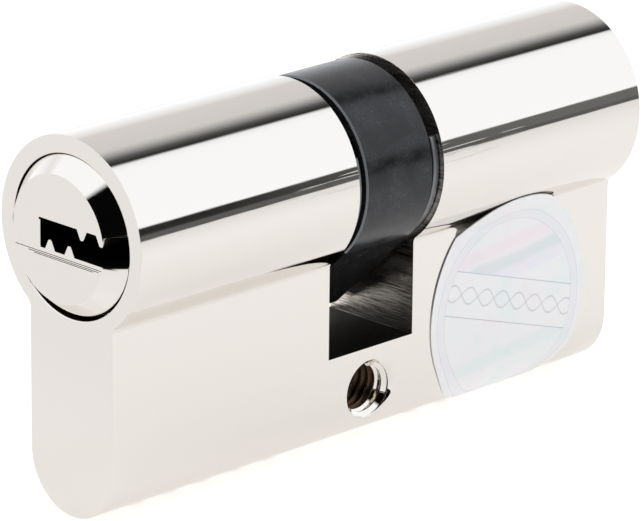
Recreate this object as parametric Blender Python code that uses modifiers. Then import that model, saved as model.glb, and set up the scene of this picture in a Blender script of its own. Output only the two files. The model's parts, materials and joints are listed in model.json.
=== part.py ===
"""A double euro-profile lock cylinder: housing, two keyed plugs with their pin stacks, cam and clutch.

The world origin is the centre of the fixing screw hole. X runs along the cylinder, the stem hangs down Z.
Every size is in millimetres: all pieces stand under one empty whose scale brings them to metres.
Each half is modelled in its own frame, at an empty on the cylinder's axis whose X points out of that half.
"""

import math

import bmesh
import bpy

METRES_PER_MM = 0.001

# section of the euro profile
ROUND_RADIUS = 8.5
STEM_WIDTH = 10
HEIGHT = 33
ROOT_FILLET = 0.8
AXIS_ABOVE_SCREW = 19.5

# lengths from the middle of the cam to each end
LENGTH_LEFT = 30
LENGTH_RIGHT = 30

# cam slot and fixing screw hole
SLOT_WIDTH = 10.15
SLOT_DEPTH_BELOW_AXIS = 15.5
SCREW_CORE_RADIUS = 2.1
SCREW_MOUTH_RADIUS = 2.8

# clearances
RUNNING_GAP = 0.08
SEAT_GAP = 0.05
REST_GAP = 0.03

# plug
PLUG_BODY_RADIUS = 6.5
PLUG_HEAD_RADIUS = PLUG_BODY_RADIUS + 0.4
PLUG_HEAD_LENGTH = 2.4
PLUG_FACE_RADIUS = PLUG_HEAD_RADIUS - 1.4
PLUG_PROUD = 1.4
PLUG_EDGE_SUNK = 0.4
SPIGOT_RADIUS = PLUG_BODY_RADIUS - 0.9
CLIP_GROOVE_DEPTH = 0.6

# keyway, open to one side of the plug
KEYWAY_FLOOR = -1.1
KEYWAY_TOP = 1.45
KEYWAY_CLOSED_SIDE = 2.3
WARD_BASE = 1.2
WARD_TIP = 0.45
WARD_HEIGHT = 0.87
UPPER_WARDS = (2.9, 5.2)
LOWER_WARDS = (-0.95, 1.4)

# shallow channel milled across the plug's face, from the keyway's closed end to the edge
CHANNEL_TOP = 1.2
CHANNEL_FLOOR = -1.4
CHANNEL_DEPTH = 0.15

# circlip
CLIP_THICKNESS = 0.7
CLIP_OUTER_RADIUS = SPIGOT_RADIUS + 2.4
CLIP_OPENING_DEG = 136

# cam
CAM_RADIUS = SPIGOT_RADIUS + 2.7
CAM_WIDTH = 7.95
CAM_TIP_RADIUS = 15
CAM_TIP_WIDTH = 3.5
CAM_CORNER_RADIUS = 1
CAM_REST_DEG = 20
CAM_WEB_WIDTH = 3.2
CAM_WEB_RADIUS = 3.3

# clutch
COUPLER_RADIUS = 3
COUPLER_LENGTH = 3.5
DOG_REACH = 4.7
DOG_WIDTH = 2.8
DOG_LENGTH = 2
CLUTCH_ENGAGEMENT = 1
CLUTCH_SHAFT_RADIUS = 1
CLUTCH_COLLAR_RADIUS = 2.4
CLUTCH_SPAN = 3.5
CLUTCH_RECESS_END = 6.6
CROSS_SLOT_END = 5.3

# pin stacks
STACK_FROM_FACE = 6
STACK_PITCH = 3.8
PIN_RADIUS = 1.4
CHAMBER_RADIUS = PIN_RADIUS + 0.1
NOSE_RADIUS = 0.75
NOSE_TIP_RADIUS = 0.3
NOSE_LENGTH = 2.8
LEDGE_BELOW_FLOOR = 1.2
DRIVER_LENGTH = 6
PIN_CHAMFER = 0.25
STOPPER_LENGTH = 3.5
STOPPER_SUNK = 0.4
KEY_CUTS = (0.3, 0.95, 0.6, 1.2, 0.45)

# pin springs
SPRING_RADIUS = PIN_RADIUS - 0.3
SPRING_WIRE_RADIUS = 0.15
SPRING_TURNS = 5
SPRING_POINTS_PER_TURN = 6

# hardened pins against drilling
GUARD_RADIUS = 0.75
GUARD_FROM_FACE = 3.3
PLUG_GUARD_INNER = 1.95
PLUG_GUARD_OFFSET = 1
HOUSING_GUARD_FROM_FACE = 2
HOUSING_GUARD_LENGTH = 14

# round label on the stem
LABEL_RADIUS = 10.1
LABEL_THICKNESS = 0.1
LABEL_FROM_MIDDLE = 17.75
LABEL_ABOVE_SCREW = 3.4
LABEL_ROW = 0.8

# facets
ROUND_SIDES = 48
CHAMBER_SIDES = 16
PIN_SIDES = 12

OVERCUT = 2
ALONG_X = (0, math.pi / 2, 0)
ACROSS_X = (math.pi / 2, 0, math.pi / 2)
TOWARDS_VIEW = (math.pi / 2, 0, 0)

SPRING_TOP = -(PLUG_BODY_RADIUS + RUNNING_GAP + REST_GAP + DRIVER_LENGTH + REST_GAP)
STOPPER_BASE = -(HEIGHT - ROUND_RADIUS - STOPPER_SUNK)
STOPPER_TOP = STOPPER_BASE + STOPPER_LENGTH

NICKEL = ("nickel_plated_brass", (0.78, 0.75, 0.7, 1), 1, 0.16)
CAM_STEEL = ("black_sintered_steel", (0.035, 0.038, 0.042, 1), 0.8, 0.42)
STEEL = ("spring_steel", (0.5, 0.5, 0.52, 1), 1, 0.3)
HARD_STEEL = ("hardened_steel", (0.32, 0.32, 0.34, 1), 1, 0.28)
BRASS = ("turned_brass", (0.8, 0.6, 0.28, 1), 1, 0.25)
FOIL = ("hologram_foil", (0.82, 0.86, 0.92, 1), 0.3, 0.2)


def fresh_collection(name):
    old = bpy.data.collections.get(name)
    if old:
        bpy.data.collections.remove(old)
    made = bpy.data.collections.new(name)
    bpy.context.scene.collection.children.link(made)
    return made


def clear_scene():
    for item in list(bpy.data.objects):
        bpy.data.objects.remove(item, do_unlink=True)
    parts = fresh_collection("euro_cylinder")
    bench = bpy.data.objects.new("millimetres", None)
    bench.scale = (METRES_PER_MM, METRES_PER_MM, METRES_PER_MM)
    parts.objects.link(bench)
    return parts, fresh_collection("cutters")


def finish(item, recipe):
    """Gives the piece its Principled material."""
    name, colour, metallic, roughness = recipe
    made = bpy.data.materials.get(name) or bpy.data.materials.new(name)
    made.use_nodes = True
    shader = made.node_tree.nodes["Principled BSDF"]
    shader.inputs["Base Color"].default_value = colour
    shader.inputs["Metallic"].default_value = metallic
    shader.inputs["Roughness"].default_value = roughness
    item.data.materials.append(made)
    return item


def place(name, data, home, parent=None, location=(0, 0, 0), rotation=(0, 0, 0)):
    item = bpy.data.objects.new(name, data)
    home.objects.link(item)
    item.parent = parent or bpy.data.objects["millimetres"]
    item.location = location
    item.rotation_euler = rotation
    return item


def as_cutter(item):
    item.hide_render = True
    item.display_type = "WIRE"
    return item


def mesh_from(name, build):
    """A mesh made by one function that fills a bmesh."""
    work = bmesh.new()
    build(work)
    mesh = bpy.data.meshes.new(name)
    work.to_mesh(mesh)
    work.free()
    return mesh


def turned(name, profile, sides, home, closed=False, **where):
    """A turned piece: (radius, height) points from the top of the outer side down, spun about local Z."""

    def outline(work):
        points = [work.verts.new((radius, 0, height)) for radius, height in profile]
        for first, second in zip(points, points[1:]):
            work.edges.new((first, second))
        if closed:
            work.edges.new((points[-1], points[0]))

    item = place(name, mesh_from(name, outline), home, **where)
    spin = item.modifiers.new("Screw", "SCREW")
    spin.steps = sides
    spin.render_steps = sides
    spin.use_merge_vertices = True
    spin.merge_threshold = 0.000001
    return item


def extruded(name, outline, thickness, home, **where):
    """A flat outline of (across, up) points, thick along X."""
    curve = bpy.data.curves.new(name, "CURVE")
    curve.dimensions = "2D"
    curve.fill_mode = "BOTH"
    curve.extrude = thickness / 2
    spline = curve.splines.new("POLY")
    spline.points.add(len(outline) - 1)
    for point, (across, up) in zip(spline.points, outline):
        point.co = (across, up, 0, 1)
    spline.use_cyclic_u = True
    drawn = place(name + "_outline", curve, home, rotation=ACROSS_X, **where)
    bpy.context.view_layer.update()
    seen = drawn.evaluated_get(bpy.context.evaluated_depsgraph_get())
    mesh = bpy.data.meshes.new_from_object(seen)
    work = bmesh.new()
    work.from_mesh(mesh)
    bmesh.ops.remove_doubles(work, verts=work.verts, dist=0.000001)
    work.to_mesh(mesh)
    work.free()
    item = place(name, mesh, home, parent=drawn.parent, rotation=ACROSS_X)
    item.location = drawn.location
    bpy.data.objects.remove(drawn)
    return item


def box(name, low, high, home, parent=None):
    """A box between two corners."""
    size = [b - a for a, b in zip(low, high)]
    middle = [(a + b) / 2 for a, b in zip(low, high)]

    def cube(work):
        bmesh.ops.create_cube(work, size=1)
        bmesh.ops.scale(work, vec=size, verts=work.verts)

    return place(name, mesh_from(name, cube), home, parent=parent, location=middle)


def rods(name, radius, sides, spans, home, parent=None):
    """Upright round rods, one for each (x, y, low, high)."""

    def fill(work):
        for x, y, low, high in spans:
            made = bmesh.ops.create_cone(
                work,
                cap_ends=True,
                segments=sides,
                radius1=radius,
                radius2=radius,
                depth=high - low,
            )
            bmesh.ops.translate(work, vec=(x, y, (low + high) / 2), verts=made["verts"])

    return place(name, mesh_from(name, fill), home, parent=parent)


def combine(item, operation, *others):
    for other in others:
        step = item.modifiers.new(other.name, "BOOLEAN")
        step.operation = operation
        step.object = as_cutter(other)
    return item


def arc(middle, radius, start, end, steps):
    """Points from one angle to another, both included, in degrees."""
    turns = [math.radians(start + (end - start) * i / steps) for i in range(steps + 1)]
    return [
        (middle[0] + radius * math.cos(t), middle[1] + radius * math.sin(t)) for t in turns
    ]


def root():
    """Where the stem meets the round part: the fillet's centre and the angle of its far end on the round."""
    across = STEM_WIDTH / 2 + ROOT_FILLET
    drop = math.sqrt((ROUND_RADIUS + ROOT_FILLET) ** 2 - across**2)
    return across, AXIS_ABOVE_SCREW - drop, math.degrees(math.atan2(-drop, across))


def foot_height():
    """Height of the centre of the rounded foot above the fixing screw."""
    return AXIS_ABOVE_SCREW + ROUND_RADIUS - HEIGHT + STEM_WIDTH / 2


def housing_outline():
    across, height, meets = root()
    half = arc((0, foot_height()), STEM_WIDTH / 2, -90, 0, 12)
    half += arc((across, height), ROOT_FILLET, 180, 180 + meets, 4)
    half += arc((0, AXIS_ABOVE_SCREW), ROUND_RADIUS, meets, 90, 18)[1:]
    return half + [(-y, z) for y, z in reversed(half[1:-1])]


def keyway_outline():
    """Closed at one side, open past the plug at the other, with wards from above and below."""

    def ward(centre, root_level, rise):
        tip = root_level + rise
        return [
            (centre - WARD_BASE / 2, root_level),
            (centre - WARD_TIP / 2, tip),
            (centre + WARD_TIP / 2, tip),
            (centre + WARD_BASE / 2, root_level),
        ]

    past = PLUG_HEAD_RADIUS + OVERCUT
    top = [(-KEYWAY_CLOSED_SIDE, KEYWAY_TOP)]
    for centre in UPPER_WARDS:
        top += ward(centre, KEYWAY_TOP, -WARD_HEIGHT)
    top.append((past, KEYWAY_TOP))
    floor = [(-KEYWAY_CLOSED_SIDE, KEYWAY_FLOOR)]
    for centre in LOWER_WARDS:
        floor += ward(centre, KEYWAY_FLOOR, WARD_HEIGHT)
    floor.append((past, KEYWAY_FLOOR))
    return top + floor[::-1]


def circlip_outline():
    inner = SPIGOT_RADIUS - CLIP_GROOVE_DEPTH + RUNNING_GAP
    start = 90 + CLIP_OPENING_DEG / 2
    end = 450 - CLIP_OPENING_DEG / 2
    ring = arc((0, 0), CLIP_OUTER_RADIUS, start, end, 30)
    return ring + arc((0, 0), inner, end, start, 30)


def stack_stations(length):
    """Distances of the pin stacks from the middle of the cam."""
    first = length - STACK_FROM_FACE
    last = CLUTCH_RECESS_END + CHAMBER_RADIUS + SEAT_GAP
    count = min(len(KEY_CUTS), 1 + int((first - last) / STACK_PITCH + 0.001))
    return [first - STACK_PITCH * i for i in range(count)]


def half_axis(side, home):
    """The empty on the cylinder's axis whose X points out of this half."""
    turn = math.pi if side == "left" else 0
    return place(
        "axis_" + side, None, home, location=(0, 0, AXIS_ABOVE_SCREW), rotation=(0, 0, turn)
    )


def make_housing(parts, cutters):
    body = extruded(
        "housing",
        housing_outline(),
        LENGTH_LEFT + LENGTH_RIGHT,
        parts,
        location=((LENGTH_RIGHT - LENGTH_LEFT) / 2, 0, 0),
    )
    slot = box(
        "cam_slot",
        (-SLOT_WIDTH / 2, -ROUND_RADIUS - OVERCUT, AXIS_ABOVE_SCREW - SLOT_DEPTH_BELOW_AXIS),
        (SLOT_WIDTH / 2, ROUND_RADIUS + OVERCUT, AXIS_ABOVE_SCREW + ROUND_RADIUS + OVERCUT),
        cutters,
    )
    flank = STEM_WIDTH / 2
    mouth = SCREW_MOUTH_RADIUS - SCREW_CORE_RADIUS
    screw = [
        (0, flank + OVERCUT),
        (SCREW_MOUTH_RADIUS, flank + OVERCUT),
        (SCREW_MOUTH_RADIUS, flank),
        (SCREW_CORE_RADIUS, flank - mouth),
        (SCREW_CORE_RADIUS, mouth - flank),
        (SCREW_MOUTH_RADIUS, -flank),
        (SCREW_MOUTH_RADIUS, -flank - OVERCUT),
        (0, -flank - OVERCUT),
    ]
    hole = turned("screw_hole", screw, 32, cutters, rotation=TOWARDS_VIEW)
    return combine(finish(body, NICKEL), "DIFFERENCE", slot, hole)


def bore_housing(housing, side, length, axis, cutters):
    """The plug's stepped bore, the chambers and the guard pin's hole of one half."""
    head = PLUG_HEAD_RADIUS + RUNNING_GAP
    body = PLUG_BODY_RADIUS + RUNNING_GAP
    pocket = length - PLUG_HEAD_LENGTH - SEAT_GAP
    steps = [
        (0, length + OVERCUT),
        (head, length + OVERCUT),
        (head, pocket),
        (body, pocket),
        (body, 0),
        (0, 0),
    ]
    bore = turned(
        "bore_" + side, steps, ROUND_SIDES, cutters, parent=axis, rotation=ALONG_X
    )
    below = -(HEIGHT - ROUND_RADIUS) - OVERCUT
    chambers = rods(
        "chambers_" + side,
        CHAMBER_RADIUS,
        CHAMBER_SIDES,
        [(x, 0, below, -PLUG_BODY_RADIUS / 2) for x in stack_stations(length)],
        cutters,
        parent=axis,
    )
    guard = rods(
        "guard_hole_" + side,
        GUARD_RADIUS + SEAT_GAP,
        PIN_SIDES,
        [(length - HOUSING_GUARD_FROM_FACE, 0, below, housing_guard_top() + REST_GAP)],
        cutters,
        parent=axis,
    )
    return combine(housing, "DIFFERENCE", bore, chambers, guard)


def housing_guard_top():
    return STOPPER_BASE + HOUSING_GUARD_LENGTH


def clip_place():
    """Distances of the circlip's two sides from the middle of the cam, against the slot's wall."""
    outer = SLOT_WIDTH / 2 - RUNNING_GAP
    return outer - CLIP_THICKNESS, outer


def plug_profile(length):
    low, high = clip_place()
    groove = SPIGOT_RADIUS - CLIP_GROOVE_DEPTH
    shoulder = SLOT_WIDTH / 2 + SEAT_GAP
    tip = CAM_WEB_WIDTH / 2 + RUNNING_GAP
    return [
        (0, length + PLUG_PROUD),
        (PLUG_FACE_RADIUS, length + PLUG_PROUD),
        (PLUG_HEAD_RADIUS, length - PLUG_EDGE_SUNK),
        (PLUG_HEAD_RADIUS, length - PLUG_HEAD_LENGTH),
        (PLUG_BODY_RADIUS, length - PLUG_HEAD_LENGTH),
        (PLUG_BODY_RADIUS, shoulder),
        (SPIGOT_RADIUS, shoulder),
        (SPIGOT_RADIUS, high + REST_GAP),
        (groove, high + REST_GAP),
        (groove, low - REST_GAP),
        (SPIGOT_RADIUS, low - REST_GAP),
        (SPIGOT_RADIUS, tip),
        (0, tip),
    ]


def plug_guard_spans(length):
    """A guard pin above and below the keyway, ending inside the plug's skin."""
    x = length - GUARD_FROM_FACE
    outer = math.sqrt(PLUG_BODY_RADIUS**2 - (PLUG_GUARD_OFFSET + GUARD_RADIUS) ** 2) - SEAT_GAP
    upper = (x, -PLUG_GUARD_OFFSET, PLUG_GUARD_INNER, outer)
    lower = (x, PLUG_GUARD_OFFSET, -outer, -PLUG_GUARD_INNER)
    return upper, lower


def make_plug(side, length, axis, parts, cutters):
    plug = turned(
        "plug_" + side, plug_profile(length), ROUND_SIDES, parts, parent=axis, rotation=ALONG_X
    )
    inner_end = CROSS_SLOT_END - SEAT_GAP
    outer_end = length + PLUG_PROUD + OVERCUT
    keyway = extruded(
        "keyway_" + side,
        keyway_outline(),
        outer_end - inner_end,
        cutters,
        parent=axis,
        location=((inner_end + outer_end) / 2, 0, 0),
    )
    cross = box(
        "cross_slot_" + side,
        (0, -PLUG_BODY_RADIUS - OVERCUT, -DOG_WIDTH / 2 - RUNNING_GAP),
        (CROSS_SLOT_END, PLUG_BODY_RADIUS + OVERCUT, DOG_WIDTH / 2 + RUNNING_GAP),
        cutters,
        parent=axis,
    )
    recess = turned(
        "clutch_recess_" + side,
        [
            (0, CLUTCH_RECESS_END),
            (COUPLER_RADIUS + RUNNING_GAP, CLUTCH_RECESS_END),
            (COUPLER_RADIUS + RUNNING_GAP, 0),
            (0, 0),
        ],
        32,
        cutters,
        parent=axis,
        rotation=ALONG_X,
    )
    ledge = KEYWAY_FLOOR - LEDGE_BELOW_FLOOR
    wells = rods(
        "pin_wells_" + side,
        CHAMBER_RADIUS,
        CHAMBER_SIDES,
        [(x, 0, -PLUG_BODY_RADIUS - OVERCUT, ledge) for x in stack_stations(length)],
        cutters,
        parent=axis,
    )
    mouths = rods(
        "pin_mouths_" + side,
        NOSE_RADIUS + RUNNING_GAP,
        PIN_SIDES,
        [(x, 0, ledge - REST_GAP, KEYWAY_TOP / 2) for x in stack_stations(length)],
        cutters,
        parent=axis,
    )
    guards = rods(
        "plug_guard_holes_" + side,
        GUARD_RADIUS + SEAT_GAP,
        PIN_SIDES,
        [
            (x, y, *((low - REST_GAP, high + OVERCUT) if low > 0 else (low - OVERCUT, high + REST_GAP)))
            for x, y, low, high in plug_guard_spans(length)
        ],
        cutters,
        parent=axis,
    )
    face = length + PLUG_PROUD
    channel = box(
        "face_channel_" + side,
        (face - CHANNEL_DEPTH, -PLUG_HEAD_RADIUS - OVERCUT, CHANNEL_FLOOR),
        (face + OVERCUT, CHANNEL_DEPTH - KEYWAY_CLOSED_SIDE, CHANNEL_TOP),
        cutters,
        parent=axis,
    )
    combine(plug, "DIFFERENCE", keyway, cross, recess, wells, mouths, guards, channel)
    return finish(plug, NICKEL)


def make_guards(side, length, axis, parts):
    for place_name, span in zip(("upper", "lower"), plug_guard_spans(length)):
        name = f"plug_guard_pin_{side}_{place_name}"
        finish(rods(name, GUARD_RADIUS, PIN_SIDES, [span], parts, parent=axis), HARD_STEEL)
    span = (length - HOUSING_GUARD_FROM_FACE, 0, STOPPER_BASE, housing_guard_top())
    name = "housing_guard_pin_" + side
    finish(rods(name, GUARD_RADIUS, PIN_SIDES, [span], parts, parent=axis), HARD_STEEL)


def make_circlip(side, axis, parts):
    clip = extruded(
        "circlip_" + side,
        circlip_outline(),
        CLIP_THICKNESS,
        parts,
        parent=axis,
        location=(sum(clip_place()) / 2, 0, 0),
    )
    return finish(clip, STEEL)


def make_stack(side, number, x, cut, axis, parts):
    """One column: key pin in the plug, driver pin, spring and stopper in the stem."""
    name = f"{side}_{number}"
    tip = KEYWAY_FLOOR + cut
    base = -math.sqrt(PLUG_BODY_RADIUS**2 - PIN_RADIUS**2) + REST_GAP
    key_pin = [
        (0, tip),
        (NOSE_TIP_RADIUS, tip),
        (NOSE_RADIUS, tip - NOSE_RADIUS + NOSE_TIP_RADIUS),
        (NOSE_RADIUS, tip - NOSE_LENGTH),
        (PIN_RADIUS, tip - NOSE_LENGTH),
        (PIN_RADIUS, base),
        (0, base),
    ]
    upright = {"parent": axis, "location": (x, 0, 0)}
    finish(turned("key_pin_" + name, key_pin, PIN_SIDES, parts, **upright), BRASS)
    top = SPRING_TOP + REST_GAP + DRIVER_LENGTH
    driver = [
        (0, top),
        (PIN_RADIUS - PIN_CHAMFER, top),
        (PIN_RADIUS, top - PIN_CHAMFER),
        (PIN_RADIUS, top - DRIVER_LENGTH),
        (0, top - DRIVER_LENGTH),
    ]
    finish(turned("driver_pin_" + name, driver, PIN_SIDES, parts, **upright), STEEL)
    make_spring("pin_spring_" + name, parts, upright)
    span = [(x, 0, STOPPER_BASE, STOPPER_TOP)]
    stopper = "chamber_stopper_" + name
    finish(rods(stopper, PIN_RADIUS, PIN_SIDES, span, parts, parent=axis), BRASS)


def make_spring(name, parts, upright):
    """An open coil between the driver pin and the stopper."""
    low = STOPPER_TOP + SPRING_WIRE_RADIUS + REST_GAP
    high = SPRING_TOP - SPRING_WIRE_RADIUS
    curve = bpy.data.curves.new(name, "CURVE")
    curve.dimensions = "3D"
    curve.bevel_depth = SPRING_WIRE_RADIUS
    curve.bevel_resolution = 1
    curve.use_fill_caps = True
    steps = SPRING_TURNS * SPRING_POINTS_PER_TURN
    spline = curve.splines.new("POLY")
    spline.points.add(steps)
    for i, point in enumerate(spline.points):
        turn = math.tau * i / SPRING_POINTS_PER_TURN
        x = SPRING_RADIUS * math.cos(turn)
        y = SPRING_RADIUS * math.sin(turn)
        point.co = (x, y, low + (high - low) * i / steps, 1)
    return finish(place(name, curve, parts, **upright), STEEL)


def tongue_outline(buried):
    """Flanks tangent to the ring, a rounded tip, and a root buried in the ring's wall."""
    tangent = CAM_RADIUS * math.cos(math.pi / ROUND_SIDES)
    inset = CAM_TIP_RADIUS - CAM_CORNER_RADIUS
    half_tip = math.asin(CAM_TIP_WIDTH / 2 / CAM_TIP_RADIUS)
    flank = half_tip + math.acos(tangent / CAM_TIP_RADIUS)
    corner = flank - math.acos((tangent - CAM_CORNER_RADIUS) / inset)
    middle = (inset * math.sin(corner), -inset * math.cos(corner))
    lean, turn = math.degrees(flank), math.degrees(corner)
    side = [(tangent * math.sin(flank), -tangent * math.cos(flank))]
    side += arc(middle, CAM_CORNER_RADIUS, 270 + lean, 270 + turn, 4)
    tip = arc((0, 0), CAM_TIP_RADIUS, 270 + turn, 270 - turn, 4)[1:-1]
    other = [(-u, v) for u, v in reversed(side)]
    return side + tip + other + arc((0, 0), buried, 270 - lean, 270 + lean, 16)


def make_cam(parts, cutters):
    """A ring on the two spigots, a web with a drive slot in its middle, and the tongue."""
    half = CAM_WIDTH / 2
    web = CAM_WEB_WIDTH / 2
    bearing = SPIGOT_RADIUS + RUNNING_GAP
    ring = [
        (CAM_RADIUS, half),
        (CAM_RADIUS, -half),
        (bearing, -half),
        (bearing, -web),
        (CAM_WEB_RADIUS, -web),
        (CAM_WEB_RADIUS, web),
        (bearing, web),
        (bearing, half),
    ]
    axis = place(
        "axis_cam",
        None,
        parts,
        location=(0, 0, AXIS_ABOVE_SCREW),
        rotation=(math.radians(CAM_REST_DEG), 0, 0),
    )
    level = (-math.radians(CAM_REST_DEG), 0, 0)
    cam = turned("cam", ring, ROUND_SIDES, parts, closed=True, parent=axis, rotation=ALONG_X)
    outline = tongue_outline((bearing + CAM_RADIUS) / 2)
    tongue = extruded("tongue", outline, CAM_WIDTH, cutters, parent=axis)
    combine(cam, "UNION", tongue)
    reach = DOG_REACH + RUNNING_GAP
    half_dog = DOG_WIDTH / 2 + RUNNING_GAP
    drive = box(
        "drive_slot",
        (-half, -reach, -half_dog),
        (half, reach, half_dog),
        cutters,
        parent=axis,
    )
    drive.rotation_euler = level
    return finish(combine(cam, "DIFFERENCE", drive), CAM_STEEL)


def make_coupler(name, axis, inner, parts, cutters):
    """A round slug with a cross dog at its inner end, bored for the clutch shaft."""
    outer = inner + COUPLER_LENGTH
    slug = turned(
        name,
        [(0, outer), (COUPLER_RADIUS, outer), (COUPLER_RADIUS, inner), (0, inner)],
        24,
        parts,
        parent=axis,
        rotation=ALONG_X,
    )
    dog = box(
        name + "_dog",
        (inner, -DOG_REACH, -DOG_WIDTH / 2),
        (inner + DOG_LENGTH, DOG_REACH, DOG_WIDTH / 2),
        cutters,
        parent=axis,
    )
    bore = turned(
        name + "_bore",
        [
            (0, outer + OVERCUT),
            (CLUTCH_SHAFT_RADIUS + RUNNING_GAP, outer + OVERCUT),
            (CLUTCH_SHAFT_RADIUS + RUNNING_GAP, inner - OVERCUT),
            (0, inner - OVERCUT),
        ],
        16,
        cutters,
        parent=axis,
        rotation=ALONG_X,
    )
    combine(slug, "UNION", dog)
    combine(slug, "DIFFERENCE", bore)
    return finish(slug, HARD_STEEL)


def make_clutch(axes, parts, cutters):
    """The left coupler's dog stands in the cam's drive slot, and the shaft's collar holds the right one out."""
    left = CAM_WEB_WIDTH / 2 - CLUTCH_ENGAGEMENT
    right = CLUTCH_SPAN - left
    make_coupler("coupler_left", axes["left"], left, parts, cutters)
    make_coupler("coupler_right", axes["right"], right, parts, cutters)
    rod = [
        (0, right + COUPLER_LENGTH - SEAT_GAP),
        (CLUTCH_SHAFT_RADIUS, right + COUPLER_LENGTH - SEAT_GAP),
        (CLUTCH_SHAFT_RADIUS, right - SEAT_GAP),
        (CLUTCH_COLLAR_RADIUS, right - SEAT_GAP),
        (CLUTCH_COLLAR_RADIUS, SEAT_GAP - left),
        (CLUTCH_SHAFT_RADIUS, SEAT_GAP - left),
        (CLUTCH_SHAFT_RADIUS, SEAT_GAP - left - COUPLER_LENGTH),
        (0, SEAT_GAP - left - COUPLER_LENGTH),
    ]
    shaft = turned("clutch_shaft", rod, 16, parts, parent=axes["right"], rotation=ALONG_X)
    return finish(shaft, HARD_STEEL)


def label_point(rise, depth):
    """The housing's flank and the round parts next to it, at a distance out from the metal."""
    across, height, meets = root()
    flank = STEM_WIDTH / 2
    foot = foot_height()
    if rise < foot:
        turn = (rise - foot) / flank
        radius = flank + depth
        return -radius * math.cos(turn), foot + radius * math.sin(turn)
    if rise <= height:
        return -flank - depth, rise
    turn = (rise - height) / ROOT_FILLET
    radius = ROOT_FILLET - depth
    if turn <= math.radians(-meets):
        return -across + radius * math.cos(turn), height + radius * math.sin(turn)
    turn = math.radians(meets) + (rise - height) / ROUND_RADIUS
    turn -= math.radians(-meets) * ROOT_FILLET / ROUND_RADIUS
    radius = ROUND_RADIUS + depth
    return -radius * math.cos(turn), AXIS_ABOVE_SCREW + radius * math.sin(turn)


def make_label(parts):
    """A thin disc laid on the flank of the right half, wrapped round the foot and up the fillet."""

    def laid(work):
        bmesh.ops.create_circle(
            work, cap_ends=True, segments=ROUND_SIDES, radius=LABEL_RADIUS
        )
        rows = int(LABEL_RADIUS / LABEL_ROW)
        for i in range(-rows, rows + 1):
            bmesh.ops.bisect_plane(
                work,
                geom=work.verts[:] + work.edges[:] + work.faces[:],
                plane_co=(0, i * LABEL_ROW, 0),
                plane_no=(0, 1, 0),
            )
        for vert in work.verts:
            y, z = label_point(LABEL_ABOVE_SCREW + vert.co.y, REST_GAP)
            vert.co = (vert.co.x, y, z)

    label = place(
        "security_label", mesh_from("security_label", laid), parts, location=(LABEL_FROM_MIDDLE, 0, 0)
    )
    skin = label.modifiers.new("Solidify", "SOLIDIFY")
    skin.thickness = LABEL_THICKNESS
    skin.offset = 1
    return finish(label, FOIL)


def main():
    parts, cutters = clear_scene()
    housing = make_housing(parts, cutters)
    axes = {}
    for side, length in (("left", LENGTH_LEFT), ("right", LENGTH_RIGHT)):
        axis = half_axis(side, parts)
        axes[side] = axis
        bore_housing(housing, side, length, axis, cutters)
        make_plug(side, length, axis, parts, cutters)
        make_guards(side, length, axis, parts)
        make_circlip(side, axis, parts)
        for number, (x, cut) in enumerate(zip(stack_stations(length), KEY_CUTS), 1):
            make_stack(side, number, x, cut, axis, parts)
    make_cam(parts, cutters)
    make_clutch(axes, parts, cutters)
    make_label(parts)


main()
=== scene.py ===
import json
import math

import bmesh
import bpy
from mathutils import Matrix, Vector


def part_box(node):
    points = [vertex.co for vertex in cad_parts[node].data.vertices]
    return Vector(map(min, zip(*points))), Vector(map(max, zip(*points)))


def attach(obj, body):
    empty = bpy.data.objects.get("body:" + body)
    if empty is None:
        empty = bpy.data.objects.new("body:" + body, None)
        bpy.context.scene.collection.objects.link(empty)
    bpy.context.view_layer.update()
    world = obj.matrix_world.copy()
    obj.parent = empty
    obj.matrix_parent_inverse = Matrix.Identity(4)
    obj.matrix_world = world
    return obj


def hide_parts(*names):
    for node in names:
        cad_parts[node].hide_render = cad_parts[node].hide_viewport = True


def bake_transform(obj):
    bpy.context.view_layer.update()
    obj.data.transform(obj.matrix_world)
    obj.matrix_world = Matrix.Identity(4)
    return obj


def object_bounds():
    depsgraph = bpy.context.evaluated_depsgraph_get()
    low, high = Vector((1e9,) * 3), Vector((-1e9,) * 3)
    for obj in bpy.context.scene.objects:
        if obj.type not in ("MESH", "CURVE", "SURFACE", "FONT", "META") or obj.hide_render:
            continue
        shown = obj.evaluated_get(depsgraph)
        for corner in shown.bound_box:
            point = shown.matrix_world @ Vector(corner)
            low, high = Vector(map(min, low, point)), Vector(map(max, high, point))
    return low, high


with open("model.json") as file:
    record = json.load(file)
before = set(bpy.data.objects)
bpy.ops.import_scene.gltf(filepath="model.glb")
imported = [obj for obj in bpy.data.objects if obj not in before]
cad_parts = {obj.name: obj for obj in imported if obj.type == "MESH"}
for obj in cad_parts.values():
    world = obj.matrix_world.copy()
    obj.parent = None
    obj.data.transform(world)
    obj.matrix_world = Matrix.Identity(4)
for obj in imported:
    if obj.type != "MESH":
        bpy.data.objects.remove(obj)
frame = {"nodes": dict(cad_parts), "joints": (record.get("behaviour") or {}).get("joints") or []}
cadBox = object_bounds()
mm = 0.001

joints = {joint["name"]: joint for joint in frame["joints"]}
housingLow, housingHigh = (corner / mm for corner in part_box("housing"))
camLow, camHigh = (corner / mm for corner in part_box("cam"))
axisHeight = joints["plug_left_turn"]["pos_m"][2] / mm

# what the modelling functions share, in millimetres
profile = {
    "roundRadius": housingHigh.z - axisHeight,
    "stemHalf": 5.0,
    "rootFillet": 0.8,
    "slotHalf": 5.075,
    "slotFloor": axisHeight - 15.5,
    "edge": 0.09,
}


def linearColor(code):
    # an sRGB hex value as Blender's linear red, green, blue and an alpha of one
    parts = [int(code[i : i + 2], 16) / 255 for i in (1, 3, 5)]
    return [c / 12.92 if c <= 0.04045 else ((c + 0.055) / 1.055) ** 2.4 for c in parts] + [1]


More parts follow.
